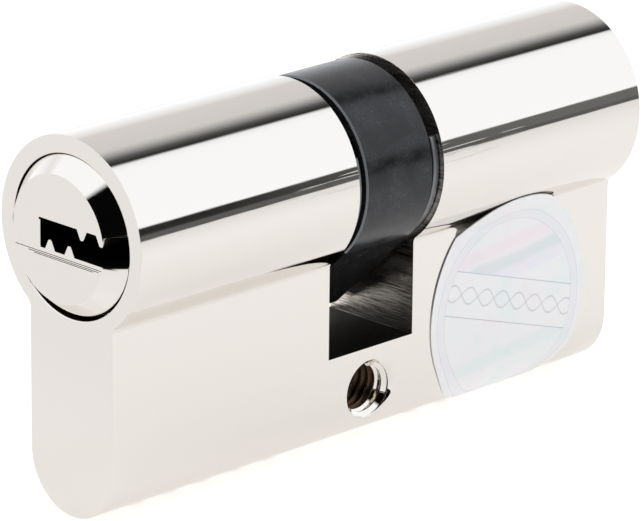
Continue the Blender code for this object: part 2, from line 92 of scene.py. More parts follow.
def addNode(tree, kind, settings=None, links=None):
    # settings go to the sockets they name or number, or else to the node's own properties
    node = tree.nodes.new("ShaderNode" + kind)
    for key, value in (settings or {}).items():
        if isinstance(key, int) or key in node.inputs:
            node.inputs[key].default_value = value
        else:
            setattr(node, key, value)
    for key, source in (links or {}).items():
        tree.links.new(source, node.inputs[key])
    return node


def rampStops(node, stops):
    ramp = node.color_ramp
    while len(ramp.elements) > 1:
        ramp.elements.remove(ramp.elements[-1])
    ramp.elements[0].position = stops[0][0]
    ramp.elements[0].color = stops[0][1]
    for position, color in stops[1:]:
        ramp.elements.new(position).color = color
    return node


def grey(level):
    return (level, level, level, 1)


def newMaterial(name):
    material = bpy.data.materials.new(name)
    material.use_nodes = True
    tree = material.node_tree
    tree.nodes.clear()
    output = addNode(tree, "OutputMaterial")
    shader = addNode(tree, "BsdfPrincipled")
    tree.links.new(shader.outputs[0], output.inputs[0])
    place = addNode(tree, "TexCoord").outputs["Object"]
    return material, tree, shader, place


def perMm(size):
    # noise and wave textures count in metres here, so a feature size in millimetres becomes a scale
    return 1 / (size * mm)


def makeNickel():
    # bright nickel on turned and polished brass: a mirror with a slight lengthwise drawing and faint haze
    look = {
        "color": "#ece8e1",
        "roughness": 0.03,
        "haze": 0.04,
        "streak": 0.22,
        "cloud": 3.5,
        "ripple": 0.07,
        "markWidth": 0.16,
        "markLimit": 0.6,
        "markRoughness": 0.4,
        "markHeight": axisHeight + 1.6,
        "markHalf": 1.05,
    }
    material, tree, shader, place = newMaterial("nickelPlating")
    shader.inputs["Base Color"].default_value = linearColor(look["color"])
    shader.inputs["Metallic"].default_value = 1
    drawn = addNode(tree, "Mapping", {"Scale": (0.03, 1, 1)}, {"Vector": place})
    finest = {"Scale": perMm(look["streak"]), "Detail": 3}
    streaks = addNode(tree, "TexNoise", finest, {"Vector": drawn.outputs[0]})
    clouds = addNode(tree, "TexNoise", {"Scale": perMm(look["cloud"]), "Detail": 4}, {"Vector": place})
    both = addNode(tree, "Math", {"operation": "MULTIPLY"}, {0: streaks.outputs[0], 1: clouds.outputs[0]})
    low = look["roughness"]
    rough = addNode(
        tree,
        "MapRange",
        {"From Min": 0.15, "From Max": 0.4, "To Min": low, "To Max": low + look["haze"]},
        {"Value": both.outputs[0]},
    )
    # long rub marks on the front of the round part, thickest by the slot, where a lock case has slid along
    rubbed = addNode(tree, "Mapping", {"Scale": (0.011, 1, 1)}, {"Vector": place})
    narrow = {"Scale": perMm(look["markWidth"]), "Detail": 2}
    fine = addNode(tree, "TexNoise", narrow, {"Vector": rubbed.outputs[0]})
    parts = addNode(tree, "SeparateXYZ", {}, {0: place})
    away = addNode(tree, "Math", {"operation": "ABSOLUTE"}, {0: parts.outputs[0]})
    least = look["markLimit"]
    limit = addNode(
        tree,
        "MapRange",
        {"From Min": 5 * mm, "From Max": 30 * mm, "To Min": least, "To Max": least + 0.2},
        {"Value": away.outputs[0]},
    )
    over = addNode(tree, "Math", {"operation": "SUBTRACT"}, {0: fine.outputs[0], 1: limit.outputs[0]})
    deepest = {"From Max": 0.05, "To Max": look["markRoughness"]}
    mark = addNode(tree, "MapRange", deepest, {"Value": over.outputs[0]})
    near = {"operation": "COMPARE", 1: look["markHeight"] * mm, 2: look["markHalf"] * mm}
    front = addNode(tree, "Math", near, {0: parts.outputs[2]})
    worn = addNode(tree, "Math", {"operation": "MULTIPLY"}, {0: mark.outputs[0], 1: front.outputs[0]})
    total = addNode(tree, "Math", {"operation": "ADD"}, {0: rough.outputs[0], 1: worn.outputs[0]})
    tree.links.new(total.outputs[0], shader.inputs["Roughness"])
    depth = {"Strength": look["ripple"], "Distance": 0.02 * mm}
    ripple = addNode(tree, "Bump", depth, {"Height": both.outputs[0]})
    tree.links.new(ripple.outputs[0], shader.inputs["Normal"])
    return material


def makeMilled():
    # raw walls of the milled slot: fine scores left by the cutter's teeth, all running across the stem; the
    # colour runs from dark in the scores' hollows to bright on their ridges, as painted shade and painted
    # highlight streaks
    look = {
        "light": "#f0e9df",
        "dark": "#5f554b",
        "metallic": 0.96,
        "roughness": 0.2,
        "sway": 0.9,
        "pitch": 0.13,
        "wide": 0.7,
        "score": 0.6,
    }
    material, tree, shader, place = newMaterial("milledBrass")
    shader.inputs["Metallic"].default_value = look["metallic"]
    sway = addNode(tree, "TexNoise", {"Scale": perMm(6), "Detail": 1}, {"Vector": place})
    upward = {"operation": "MULTIPLY_ADD", 1: (0, 0, look["sway"] * mm)}
    bent = addNode(tree, "VectorMath", upward, {0: sway.outputs["Color"], 2: place})
    along = addNode(tree, "Mapping", {"Scale": (1, 0.045, 1)}, {"Vector": bent.outputs[0]})
    tooth = {"Scale": perMm(look["pitch"]), "Detail": 4, "Roughness": 0.65}
    marks = addNode(tree, "TexNoise", tooth, {"Vector": along.outputs[0]})
    sweep = {"Scale": perMm(look["wide"]), "Detail": 2}
    wide = addNode(tree, "TexNoise", sweep, {"Vector": along.outputs[0]})
    halfWide = {"operation": "MULTIPLY_ADD", 1: 0.5}
    both = addNode(tree, "Math", halfWide, {0: wide.outputs[0], 2: marks.outputs[0]})
    # dark to bright along the scores: painted shade in the hollows and painted highlight streaks on the
    # ridges
    tone = rampStops(
        addNode(tree, "ValToRGB", {}, {0: both.outputs[0]}),
        [(0.58, linearColor(look["dark"])), (0.8, linearColor(look["light"]))],
    )
    tree.links.new(tone.outputs[0], shader.inputs["Base Color"])
    shader.inputs["Roughness"].default_value = look["roughness"]
    depth = {"Strength": look["score"], "Distance": 0.03 * mm}
    bump = addNode(tree, "Bump", depth, {"Height": both.outputs[0]})
    tree.links.new(bump.outputs[0], shader.inputs["Normal"])
    return material


def makeRecessShade():
    # broached and drilled insides: unpolished, and darkened close to black as painted shade
    look = {"dark": "#1c1a17", "light": "#35302a", "roughness": 0.5, "grain": 0.4}
    material, tree, shader, place = newMaterial("recessPaintedShade")
    shader.inputs["Metallic"].default_value = 1
    grain = addNode(tree, "TexNoise", {"Scale": perMm(look["grain"]), "Detail": 4}, {"Vector": place})
    tone = rampStops(
        addNode(tree, "ValToRGB", {}, {0: grain.outputs[0]}),
        [(0.35, linearColor(look["dark"])), (0.7, linearColor(look["light"]))],
    )
    tree.links.new(tone.outputs[0], shader.inputs["Base Color"])
    shader.inputs["Roughness"].default_value = look["roughness"]
    return material


def makeCamSteel(name, color, cloud, ior):
    # sintered steel, steam-blackened: a satin oxide, faintly clouded, with worn grains and a film of dust
    look = {"worn": "#6d7072", "roughness": 0.21, "cloud": 2.2, "grain": 0.11, "film": 0.16}
    material, tree, shader, place = newMaterial(name)
    shader.inputs["IOR"].default_value = ior
    shader.inputs["Sheen Weight"].default_value = look["film"]
    shader.inputs["Sheen Roughness"].default_value = 0.25
    soft = {"Scale": perMm(look["cloud"]), "Detail": 5, "Roughness": 0.62}
    clouds = addNode(tree, "TexNoise", soft, {"Vector": place})
    grains = addNode(tree, "TexNoise", {"Scale": perMm(look["grain"]), "Detail": 2}, {"Vector": place})
    tone = rampStops(
        addNode(tree, "ValToRGB", {}, {0: clouds.outputs[0]}),
        [(0.4, linearColor(color)), (0.68, linearColor(cloud))],
    )
    some = {"operation": "MULTIPLY_ADD", 1: 0.3}
    patchy = addNode(tree, "Math", some, {0: clouds.outputs[0], 2: grains.outputs[0]})
    mask = addNode(tree, "ValToRGB", {}, {0: patchy.outputs[0]})
    rampStops(mask, [(0.8, grey(0)), (0.88, grey(0.6))])
    mixed = addNode(
        tree,
        "Mix",
        {"data_type": "RGBA", 7: linearColor(look["worn"])},
        {0: mask.outputs[0], 6: tone.outputs[0]},
    )
    tree.links.new(mixed.outputs[2], shader.inputs["Base Color"])
    middle = look["roughness"]
    rough = addNode(
        tree,
        "MapRange",
        {"From Min": 0.3, "From Max": 0.7, "To Min": middle - 0.05, "To Max": middle + 0.08},
        {"Value": clouds.outputs[0]},
    )
    tree.links.new(rough.outputs[0], shader.inputs["Roughness"])
    bump = addNode(tree, "Bump", {"Strength": 0.12, "Distance": 0.01 * mm}, {"Height": grains.outputs[0]})
    tree.links.new(bump.outputs[0], shader.inputs["Normal"])
    return material


def makeTurned(name, color, roughness, groove, metallic=1.0):
    # a lathe's finish: fine rings round the piece, a little darker in the grooves as painted shade, and
    # smoother there
    darker, vary = 0.82, 0.06
    material, tree, shader, place = newMaterial(name)
    shader.inputs["Metallic"].default_value = metallic
    flat = addNode(tree, "Mapping", {"Scale": (0.1, 0.1, 1)}, {"Vector": place})
    rings = addNode(tree, "TexNoise", {"Scale": perMm(groove), "Detail": 2}, {"Vector": flat.outputs[0]})
    bright = linearColor(color)
    grooveShade = [c * darker for c in bright[:3]] + [1]
    shade = addNode(tree, "Mix", {"data_type": "RGBA", 6: grooveShade, 7: bright}, {0: rings.outputs[0]})
    tree.links.new(shade.outputs[2], shader.inputs["Base Color"])
    limits = {"To Min": roughness - vary, "To Max": roughness + vary}
    rough = addNode(tree, "MapRange", limits, {"Value": rings.outputs[0]})
    tree.links.new(rough.outputs[0], shader.inputs["Roughness"])
    bump = addNode(tree, "Bump", {"Strength": 0.15, "Distance": 0.01 * mm}, {"Height": rings.outputs[0]})
    tree.links.new(bump.outputs[0], shader.inputs["Normal"])
    return material


def arcPoints(middle, radius, start, end, steps):
    # points on an arc, from one angle in degrees to another
    turns = [math.radians(start + (end - start) * i / steps) for i in range(steps + 1)]
    return [(middle[0] + radius * math.cos(t), middle[1] + radius * math.sin(t)) for t in turns]


def rootPlace():
    # centre of the fillet between stem and round part, and the angle of its far end on the round
    across = profile["stemHalf"] + profile["rootFillet"]
    reach = profile["roundRadius"] + profile["rootFillet"]
    drop = math.sqrt(reach**2 - across**2)
    return across, axisHeight - drop, math.degrees(math.atan2(-drop, across))


def housingSection():
    # the euro profile as (y, z) points: foot, stem, fillet and round part, then the same mirrored
    across, height, meets = rootPlace()
    foot = housingLow.z + profile["stemHalf"]
    half = arcPoints((0, foot), profile["stemHalf"], -90, 0, 32)
    half += arcPoints((across, height), profile["rootFillet"], 180, 180 + meets, 8)
    half += arcPoints((0, axisHeight), profile["roundRadius"], meets, 90, 60)[1:]
    return half + [(-y, z) for y, z in reversed(half[1:-1])]


def slab(outline, start, end):
    # a flat outline of (y, z) points made solid from one x to another
    work = bmesh.new()
    face = work.faces.new([work.verts.new((start, y, z)) for y, z in outline])
    grown = bmesh.ops.extrude_face_region(work, geom=[face])
    moved = [item for item in grown["geom"] if isinstance(item, bmesh.types.BMVert)]
    bmesh.ops.translate(work, vec=(end - start, 0, 0), verts=moved)
    bmesh.ops.recalc_face_normals(work, faces=work.faces[:])
    return work


def block(low, high):
    # a box between two opposite corners
    work = bmesh.new()
    bmesh.ops.create_cube(work, size=1)
    size = [b - a for a, b in zip(low, high)]
    bmesh.ops.scale(work, vec=size, verts=work.verts[:])
    bmesh.ops.translate(work, vec=[(a + b) / 2 for a, b in zip(low, high)], verts=work.verts[:])
    return work


def lathe(points, steps, closed=False):
    # (radius, x) points spun about the X axis
    work = bmesh.new()
    verts = [work.verts.new((x, 0, radius)) for radius, x in points]
    pairs = list(zip(verts, verts[1:])) + ([(verts[-1], verts[0])] if closed else [])
    edges = [work.edges.new(pair) for pair in pairs]
    bmesh.ops.spin(
        work,
        geom=verts + edges,
        cent=(0, 0, 0),
        axis=(1, 0, 0),
        angle=math.tau,
        steps=steps,
        use_merge=True,
    )
    bmesh.ops.remove_doubles(work, verts=work.verts[:], dist=0.00001)
    bmesh.ops.recalc_face_normals(work, faces=work.faces[:])
    return work


def moveTo(work, move=(0, 0, 0), turn=None):
    # turned about the origin first, then moved
    if turn:
        bmesh.ops.transform(work, matrix=turn, verts=work.verts[:])
    bmesh.ops.translate(work, vec=move, verts=work.verts[:])
    return work


halfTurn = Matrix.Rotation(math.pi, 4, "Z")
lieAcross = Matrix.Rotation(math.pi / 2, 4, "Z")
standUp = Matrix.Rotation(-math.pi / 2, 4, "Y")


def meshOf(work):
    mesh = bpy.data.meshes.new("piece")
    work.to_mesh(mesh)
    work.free()
    return mesh


def workFrom(mesh):
    work = bmesh.new()
    work.from_mesh(mesh)
    return work


def temporary(name, work):
    item = bpy.data.objects.new(name, meshOf(work))
    bpy.context.scene.collection.objects.link(item)
    return item


def shapeWith(name, work, cuts=(), joins=(), edge=0.0, segments=2):
    # booleans and rounded edges, worked in millimetres and returned as a finished mesh
    weldWithin, roundOver = 0.002, 38
    item = temporary(name, work)
    helpers = []
    for operation, tools in (("UNION", joins), ("DIFFERENCE", cuts)):
        for tool in tools:
            helper = temporary(name + "Tool", tool)
            helpers.append(helper)
            step = item.modifiers.new("Boolean", "BOOLEAN")
            step.operation = operation
            step.object = helper
    if edge:
        weld = item.modifiers.new("Weld", "WELD")
        weld.merge_threshold = weldWithin
        rounded = item.modifiers.new("Bevel", "BEVEL")
        rounded.width = edge
        rounded.segments = segments
        rounded.limit_method = "ANGLE"
        rounded.angle_limit = math.radians(roundOver)
        rounded.miter_outer = "MITER_ARC"
        rounded.use_clamp_overlap = True
    bpy.context.view_layer.update()
    seen = item.evaluated_get(bpy.context.evaluated_depsgraph_get())
    mesh = bpy.data.meshes.new_from_object(seen)
    for used in [item] + helpers:
        bpy.data.objects.remove(used)
    return mesh


def smoothed(mesh, angle=34):
    # smooth faces, with edges sharper than the angle kept crisp and flat faces kept flat
    mesh.polygons.foreach_set("use_smooth", [True] * len(mesh.polygons))
    mesh.set_sharp_from_angle(angle=math.radians(angle))
    return mesh


def pieceFrom(name, mesh, materials, body, *nodes, pick=None, angle=34, ends=None):
    # the finished piece, scaled to metres, with each face's material picked by its place
    # with ends, the piece is attached to no body and keeps its place baked into its mesh; the pair of bodies
    # and the ends' points are not used
    smoothed(mesh, angle)
    mesh.materials.clear()
    for material in materials:
        mesh.materials.append(material)
    if pick:
        for face in mesh.polygons:
            face.material_index = pick(face.center, face.normal)
    mesh.transform(Matrix.Scale(mm, 4))
    mesh.name = name
    piece = bpy.data.objects.new(name, mesh)
    bpy.context.scene.collection.objects.link(piece)
    even = piece.modifiers.new("WeightedNormal", "WEIGHTED_NORMAL")
    even.keep_sharp = True
    if ends:
        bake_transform(piece)
    else:
        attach(piece, body)
    if nodes:
        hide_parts(*nodes)
    return piece


nickel = makeNickel()
milled = makeMilled()
recessShade = makeRecessShade()
camSteel = makeCamSteel("steamBlackenedSinter", "#17191b", "#2b2e30", 1.42)
# a darker copy of the cam's steel for the tongue, as painted shade where it lies down in the slot
shadedTongueSteel = makeCamSteel("sinterTonguePaintedShade", "#070708", "#0e0e10", 1.2)
# light grey for the cam's rubbed rims, with a painted highlight along the bevels
rubbedRimHighlight = makeTurned("rubbedEdgePaintedHighlight", "#85878a", 0.6, 0.1, 0.0)
brass = makeTurned("turnedBrass", "#d9b266", 0.26, 0.2)
# dark brown brass for the thread deep in the hole: raw brass, darkened as painted shade
shadedRawBrass = makeTurned("rawBrassPaintedShade", "#5a4636", 0.35, 0.2)
pinSteel = makeTurned("turnedNickelSilver", "#c9c8c4", 0.24, 0.2)
springSteel = makeTurned("drawnSpringWire", "#8f9194", 0.3, 0.15)
clipSteel = makeTurned("phosphatedSpringSteel", "#8b8e91", 0.42, 0.3)
hardSteel = makeTurned("groundHardSteel", "#6f7275", 0.28, 0.12)
print("materials made")

plugSize = {
    "headRadius": 6.9,
    "headLength": 2.4,
    "bodyRadius": 6.5,
    "faceRadius": 5.5,
    "proud": 1.4,
    "edgeSunk": 0.2,
    "spigotRadius": 5.6,
    "groove": 0.6,
    "grooveSlack": 0.03,
    "clipThickness": 0.7,
    "webHalf": 1.6,
    "couplerRadius": 3.08,
    "couplerDepth": 6.6,
    "slotHalf": 1.48,
    "slotDepth": 5.3,
}
keyway = {
    "start": 5.25,
    "floor": -1.1,
    "top": 1.45,
    "closedSide": 2.3,
    "wardBase": 1.2,
    "wardTip": 0.45,
    "wardHeight": 0.87,
    "upperWards": (2.9, 5.2),
    "lowerWards": (-0.95, 1.4),
}
# a shallow run-out of the keyway's cutter across the face, and the scores beside it
channel = {
    "top": 1.2,
    "floor": -1.4,
    "from": -2.2,
    "depth": 0.15,
    "scoreDepth": 0.05,
    "scoreHalf": 0.03,
    "scores": [(-5.2, 5.2, -1.46), (-3.6, 4.9, -1.62), (-2.9, 4.2, -1.75), (-5.1, -2.4, 1.02)],
}
# the plug's bore stands a little low, which leaves a thin line above the plug and a crescent below it
bore = {"wider": 0.06, "deeper": 0.05, "chamfer": 0.07, "drop": 0.12}
stack = {
    "pin": 1.4,
    "chamber": 1.5,
    "chamberTop": -3.2,
    "wellStep": -2.3,
    "pinHole": 0.83,
    "wellTop": 0.7,
}
screw = {
    "core": 2.1,
    "major": 2.5,
    "mouth": 3.0,
    "sink": 0.32,
    "pitch": 0.8,
    "crestHalf": 0.05,
    "plated": 2.0,
}
gap = 0.08
past = 2  # how far a cutting tool reaches beyond what it cuts


def sideLength(side):
    return -housingLow.x if side == "left" else housingHigh.x


def sidePlace(work, side):
    # from a half's own frame, with X pointing out of it, to the row's frame
    return moveTo(work, (0, 0, axisHeight), halfTurn if side == "left" else None)


def boreTool(side):
    length = sideLength(side)
    head = plugSize["headRadius"] + gap + bore["wider"]
    body = plugSize["bodyRadius"] + gap + bore["wider"]
    pocket = length - plugSize["headLength"] - bore["deeper"]
    points = [
        (0, length + past),
        (head + bore["chamfer"] + past, length + past),
        (head, length - bore["chamfer"]),
        (head, pocket),
        (body, pocket),
        (body, 0),
        (0, 0),
    ]
    return moveTo(sidePlace(lathe(points, 128), side), (0, 0, -bore["drop"]))


def stackStations(side):
    # where the CAD's key pins stand, measured from the middle of the cam
    found = []
    for name in frame["nodes"]:
        if name.startswith("key_pin_" + side):
            low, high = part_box(name)
            found.append(abs(low.x + high.x) / 2 / mm)
    return sorted(found, reverse=True)


def chamberTools(side):
    tools = []
    radius, top = stack["chamber"], stack["chamberTop"]
    low = housingLow.z - past - axisHeight
    for x in stackStations(side):
        rod = lathe([(0, low), (radius, low), (radius, top), (0, top)], 32)
        tools.append(sidePlace(moveTo(rod, (x, 0, 0), standUp), side))
    return tools


def threadedHole():
    # M5, countersunk from both sides
    half = profile["stemHalf"]
    points = [
        (0, half + past),
        (screw["mouth"] + past, half + past),
        (screw["major"], half - screw["sink"]),
        (screw["major"], -half + screw["sink"]),
        (screw["mouth"] + past, -half - past),
        (0, -half - past),
    ]
    return moveTo(lathe(points, 64), turn=lieAcross)


def makeHousing():
    half = profile["slotHalf"]
    wide = profile["roundRadius"] + past
    slot = block((-half, -wide, profile["slotFloor"]), (half, wide, axisHeight + wide))
    cuts = [slot, threadedHole()]
    for side in ("left", "right"):
        cuts.append(boreTool(side))
        cuts += chamberTools(side)
    body = slab(housingSection(), housingLow.x, housingHigh.x)
    mesh = shapeWith("housing", body, cuts, edge=profile["edge"])

    def pick(centre, normal):
        # milled slot walls; painted shade on the slot floor, bore and chambers; nickel everywhere else
        x = abs(centre.x)
        away = math.hypot(centre.y, centre.z - axisHeight)
        slotFloor = x < half - 0.2 and normal.z > 0.9 and centre.z < axisHeight
        slotWall = x < half + 0.02 and abs(normal.x) > 0.9
        inBore = away < plugSize["headRadius"] + gap + 0.2 and abs(normal.x) < 0.5 and x < housingHigh.x - 0.5
        inStack = abs(centre.y) < stack["chamber"] + 0.1 and half + 0.2 < x < housingHigh.x - 0.1
        chamber = inStack and centre.z < axisHeight - 6 and abs(normal.z) < 0.2
        if slotWall:
            return 1
        return 2 if slotFloor or inBore or chamber else 0

    pieceFrom("housing_body", mesh, [nickel, milled, recessShade], "housing", "housing", pick=pick)


def makeThread():
    # the ridge of the tapped M5 hole, swept as a helix
    half, steps = profile["stemHalf"], 40
    turns = int(2 * (half - screw["sink"]) / screw["pitch"])
    start = -turns * screw["pitch"] / 2
    flank = screw["pitch"] * 0.45
    crest, root = screw["crestHalf"], screw["major"] + 0.05
    corners = [
        (root, start - flank),
        (screw["core"], start - crest),
        (screw["core"], start + crest),
        (root, start + flank),
    ]
    work = bmesh.new()
    face = work.faces.new([work.verts.new((x, 0, r)) for r, x in corners])
    bmesh.ops.spin(
        work,
        geom=[face] + face.edges[:] + face.verts[:],
        cent=(0, 0, 0),
        axis=(1, 0, 0),
        dvec=(screw["pitch"] / steps, 0, 0),
        angle=math.tau * turns,
        steps=steps * turns,
    )
    bmesh.ops.remove_doubles(work, verts=work.verts[:], dist=0.00001)
    bmesh.ops.recalc_face_normals(work, faces=work.faces[:])
    moveTo(work, turn=lieAcross)

    def pick(centre, normal):
        # deeper than the plated mouth the thread turns dark brown: raw brass with painted shade deep in the
        # hole
        return 1 if abs(centre.y) < half - screw["plated"] else 0

    pieceFrom("screw_thread", meshOf(work), [nickel, shadedRawBrass], "housing", angle=25, pick=pick)


def plugPoints(length):
    # (radius, x) from the middle of the face to the middle of the inner end
    size, slack = plugSize, plugSize["grooveSlack"]
    outer = profile["slotHalf"] - gap
    inner = outer - size["clipThickness"]
    tip = size["webHalf"] + gap
    shoulder = profile["slotHalf"] + 0.05
    groove = size["spigotRadius"] - size["groove"]
    return [
        (0, length + size["proud"]),
        (size["faceRadius"], length + size["proud"]),
        (size["headRadius"], length - size["edgeSunk"]),
        (size["headRadius"], length - size["headLength"]),
        (size["bodyRadius"], length - size["headLength"]),
        (size["bodyRadius"], shoulder),
        (size["spigotRadius"], shoulder),
        (size["spigotRadius"], outer + slack),
        (groove, outer + slack),
        (groove, inner - slack),
        (size["spigotRadius"], inner - slack),
        (size["spigotRadius"], tip),
        (0, tip),
    ]


def keywaySection():
    def ward(centre, base, rise):
        # shares of the base's width, of the tip's width and of the height, from foot to rounded tip
        half = [(-0.5, 0, 0), (0, -0.5, 0.78), (0, -0.36, 0.93), (0, -0.15, 1)]
        shape = half + [(-a, -b, c) for a, b, c in reversed(half)]
        width = keyway["wardTip"] + 0.08
        return [(centre + a * keyway["wardBase"] + b * width, base + rise * c) for a, b, c in shape]

    outside = plugSize["headRadius"] + past
    top = [(-keyway["closedSide"], keyway["top"])]
    for centre in keyway["upperWards"]:
        top += ward(centre, keyway["top"], -keyway["wardHeight"])
    top.append((outside, keyway["top"]))
    floor = [(-keyway["closedSide"], keyway["floor"])]
    for centre in keyway["lowerWards"]:
        floor += ward(centre, keyway["floor"], keyway["wardHeight"])
    floor.append((outside, keyway["floor"]))
    return top + floor[::-1]


def makePlug(side):
    # turned body, then the keyway, the drive slot, the coupler's seat, the cutter's run-out and the pin wells
    size = plugSize
    length = sideLength(side)
    face = length + size["proud"]
    wide = size["headRadius"] + past
    seat, seatEnd = size["couplerRadius"], size["couplerDepth"]
    runOut = face - channel["depth"]
    cuts = [
        slab(keywaySection(), keyway["start"], face + past),
        block((0, -wide, -size["slotHalf"]), (size["slotDepth"], wide, size["slotHalf"])),
        lathe([(0, seatEnd), (seat, seatEnd), (seat, 0), (0, 0)], 48),
        block((runOut, -wide, channel["floor"]), (face + past, channel["from"], channel["top"])),
    ]
    wellPoints = [
        (0, -wide),
        (stack["chamber"], -wide),
        (stack["chamber"], stack["wellStep"]),
        (stack["pinHole"], stack["wellStep"] + 0.05),
        (stack["pinHole"], stack["wellTop"]),
        (0, stack["wellTop"]),
    ]
    for x in stackStations(side):
        cuts.append(moveTo(lathe(wellPoints, 32), (x, 0, 0), standUp))
    mesh = shapeWith("plug", lathe(plugPoints(length), 128), cuts, edge=0.04)
    deep, half = face - channel["scoreDepth"], channel["scoreHalf"]
    scores = [block((deep, a, z - half), (face + past, b, z + half)) for a, b, z in channel["scores"]]
    mesh = shapeWith("plug", workFrom(mesh), scores)
    mesh = meshOf(sidePlace(workFrom(mesh), side))
    outward = -1 if side == "left" else 1

    def pick(centre, normal):
        # the keyway's insides, the scores on the face and the pin wells take the near-black painted shade
        along = centre.x * outward
        height = centre.z - axisHeight
        away = math.hypot(centre.y, height)
        inBand = keyway["floor"] - 0.02 < height < keyway["top"] + 0.02
        within = away < size["headRadius"] - 0.02 and along < face - 0.03 and abs(normal.x) < 0.55
        cut = face - 0.06 < along < face - 0.01
        scored = cut and any(abs(height - score[2]) < 0.04 for score in channel["scores"])
        behindHead = profile["slotHalf"] < along < length - size["headLength"]
        inWell = behindHead and away < size["bodyRadius"] - 0.1
        return 1 if (inBand and within) or scored or inWell else 0

    name = "plug_" + side
    pieceFrom(name + "_body", mesh, [nickel, recessShade], name, name, pick=pick)


camSize = {
    "rim": 0.15,
    "edge": 0.13,
    "shaftHole": 3.3,
    "driveReach": 4.78,
    "tipRadius": 15,
    "halfTip": 1.75,
    "corner": 1.0,
    "hang": 20,
}


def tongueSection(outer, buried):
    # flanks tangent to the ring, a rounded tip, and a root inside the ring's wall
    tipRadius, corner = camSize["tipRadius"], camSize["corner"]
    inset = tipRadius - corner
    flank = math.asin(camSize["halfTip"] / tipRadius) + math.acos(outer / tipRadius)
    turn = flank - math.acos((outer - corner) / inset)
    middle = (inset * math.sin(turn), -inset * math.cos(turn))
    lean, turn = math.degrees(flank), math.degrees(turn)
    side = [(outer * math.sin(flank), -outer * math.cos(flank))]
    side += arcPoints(middle, corner, 270 + lean, 270 + turn, 10)
    tip = arcPoints((0, 0), tipRadius, 270 + turn, 270 - turn, 8)[1:-1]
    other = [(-y, z) for y, z in reversed(side)]
    return side + tip + other + arcPoints((0, 0), buried, 270 - lean, 270 + lean, 32)


def makeCam():
    half = (camHigh.x - camLow.x) / 2
    bearing = plugSize["spigotRadius"] + gap
    outer = camHigh.z - axisHeight
    web, rim, hole = plugSize["webHalf"], camSize["rim"], camSize["shaftHole"]
    ring = lathe(
        [
            (outer - rim, half),
            (outer, half - rim),
            (outer, rim - half),
            (outer - rim, -half),
            (bearing, -half),
            (bearing, -web),
            (hole, -web),
            (hole, web),
            (bearing, web),
            (bearing, half),
        ],
        160,
        closed=True,
    )
    tongue = slab(tongueSection(outer - 0.002, (bearing + outer) / 2), -half, half)
    moveTo(tongue, turn=Matrix.Rotation(math.radians(camSize["hang"]), 4, "X"))
    wide, high = camSize["driveReach"], plugSize["slotHalf"]
    drive = block((-half - 1, -wide, -high), (half + 1, wide, high))
    mesh = shapeWith("cam", ring, [drive], [tongue], edge=camSize["edge"], segments=3)
    mesh.transform(Matrix.Translation((0, 0, axisHeight)))

    def pick(centre, normal):
        # the tongue takes a darker copy of the steel as painted shade, and the ring's rims are rubbed and
        # lighter as a painted highlight
        away = math.hypot(centre.y, centre.z - axisHeight)
        if away > outer + 0.1:
            return 1
        return 2 if away > outer - rim and 0.2 < abs(normal.x) < 0.99 else 0

    pieceFrom("cam_ring", mesh, [camSteel, shadedTongueSteel, rubbedRimHighlight], "cam", "cam", pick=pick)


def turnedNode(node, body, points, material):
    # a turned upright piece, from (radius, z) points in the row's frame, in place of its CAD node
    low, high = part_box(node)
    middle = (low + high) / 2 / mm
    work = moveTo(lathe(points, 32), (middle.x, middle.y, 0), standUp)
    pieceFrom(node + "_turned", shapeWith(node, work, edge=0.04), [material], body, node)


def keyPinPoints(low, high):
    # a stepped tip, rounded where it meets the key's dimple
    full, tip, step, cone = stack["pin"], 0.75, 2.8, 0.45
    return [
        (0, low),
        (full, low),
        (full, high - step),
        (tip, high - step),
        (tip, high - cone),
        (0.3, high),
        (0, high),
    ]


def driverPinPoints(low, high):
    # a spool, waisted against picking
    full, waist = stack["pin"], 1.15
    return [
        (0, low),
        (full, low),
        (full, high - 3.7),
        (waist, high - 3.4),
        (waist, high - 1.9),
        (full, high - 1.6),
        (full, high - 0.25),
        (waist, high),
        (0, high),
    ]


def stopperPoints(low, high):
    full = stack["pin"]
    return [(0, low), (full, low), (full, high), (0, high)]


def makeStacks():
    for side in ("left", "right"):
        for number in range(1, 6):
            tag = f"{side}_{number}"
            for kind, points, material in (
                ("key_pin_", keyPinPoints, brass),
                ("driver_pin_", driverPinPoints, pinSteel),
                ("chamber_stopper_", stopperPoints, brass),
            ):
                node = kind + tag
                low, high = (corner.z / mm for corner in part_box(node))
                body = "housing" if points is stopperPoints else node
                turnedNode(node, body, points(low, high), material)
            makeSpring("pin_spring_" + tag)


